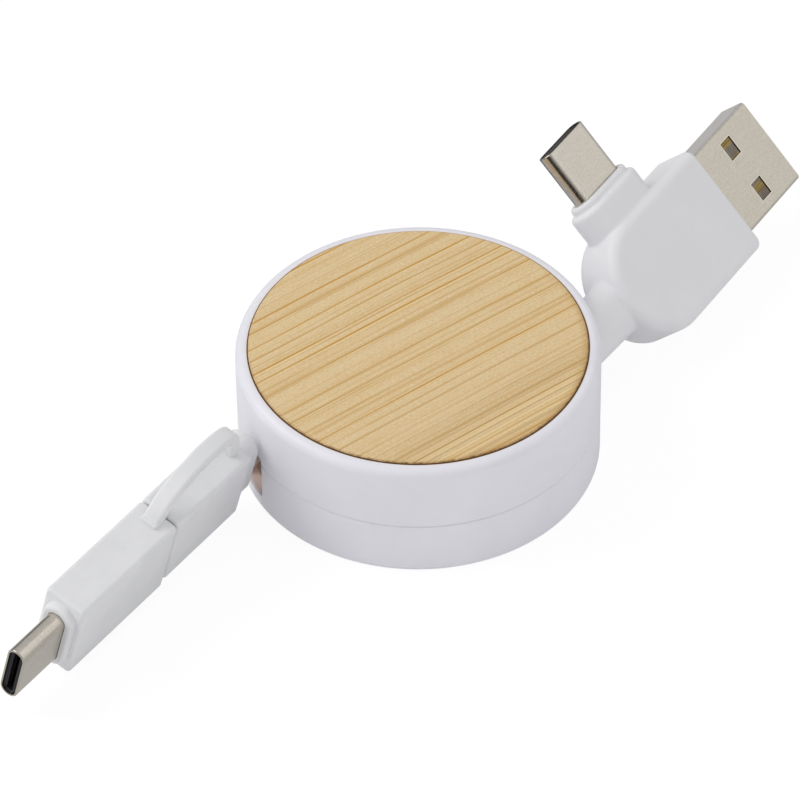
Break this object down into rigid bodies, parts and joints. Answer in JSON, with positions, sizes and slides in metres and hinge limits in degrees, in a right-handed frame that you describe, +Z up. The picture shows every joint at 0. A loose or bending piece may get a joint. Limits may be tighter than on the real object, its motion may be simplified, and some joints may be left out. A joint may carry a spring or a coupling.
{
  "type": "retractable charging cable",
  "caption": "Round retractable charging cable with a bamboo-topped casing, a pull-out lead on each side and moulded plugs for type A and type C sockets.",
  "frame": {"origin": "centre of the casing's flat underside", "axes": "+Z up through the bamboo top, +X towards the lead with the type A plug, -X towards the lead with the adapter"},
  "size_m": [0.1225, 0.043, 0.0229],
  "materials": {
    "casing_white": "satin",
    "bamboo": "dry, with a burnt edge",
    "head_white": "matte",
    "lead_grey": "matte, finely textured",
    "cable_white": "matte",
    "plug_steel": "satin",
    "polished_steel": "polished",
    "spring_steel": "oiled",
    "gold": "plated",
    "black_insert": "matte",
    "grey_insulator": "matte",
    "drum_beige": "matte",
    "board_green": "lacquered"
  },
  "bodies": {
    "casing": {"lower_shell": "casing_white", "upper_shell": "casing_white", "bamboo_disc": "bamboo", "centre_screw": "spring_steel", "lock_ball": "polished_steel", "left_cable": "cable_white", "right_cable": "cable_white"},
    "drum": {"drum": "drum_beige", "drum_cover": "drum_beige", "wound_cable": "cable_white", "mainspring": "spring_steel"},
    "right_lead": {"head_body": "head_white", "head_board": "board_green", "type_a_shell": "plug_steel", "type_a_insulator": "grey_insulator", "type_a_contacts": "gold", "head_type_c_shell": "polished_steel", "head_type_c_insert": "black_insert", "head_type_c_contacts": "gold"},
    "left_lead": {"plug_body": "lead_grey", "plug_shell": "plug_steel", "plug_insulator": "black_insert", "plug_contacts": "gold"},
    "adapter": {"adapter_body": "lead_grey", "adapter_board": "board_green", "socket_liner": "plug_steel", "socket_block": "black_insert", "adapter_type_c_shell": "polished_steel", "adapter_type_c_insert": "black_insert", "adapter_type_c_contacts": "gold", "strap": "lead_grey"}
  },
  "joints": [
    {"name": "right_pull", "type": "slide", "parent": "casing", "child": "right_lead", "axis": [0.9995, 0.0305, 0], "range_m": [0, 0.35], "stiffness_N_per_m": 2, "springref_m": -0.4, "deforming": ["right_cable"]},
    {"name": "left_pull", "type": "slide", "parent": "casing", "child": "left_lead", "axis": [-0.9995, 0.0305, 0], "range_m": [0, 0.35], "deforming": ["left_cable"]},
    {"name": "drum_spin", "type": "hinge", "parent": "casing", "child": "drum", "pos_m": [0, 0, 0], "axis": [0, 0, 1], "range_deg": [0, 1565], "deforming": ["mainspring"]},
    {"name": "adapter_pull", "type": "slide", "parent": "left_lead", "child": "adapter", "axis": [-0.9995, 0.0305, 0], "range_m": [0, 0.006], "deforming": ["strap"]}
  ],
  "couplings": [
    {"joint": "left_pull", "follows": "right_pull", "ratio": 1},
    {"joint": "drum_spin", "follows": "right_pull", "rad_per_m": 77.82}
  ]
}
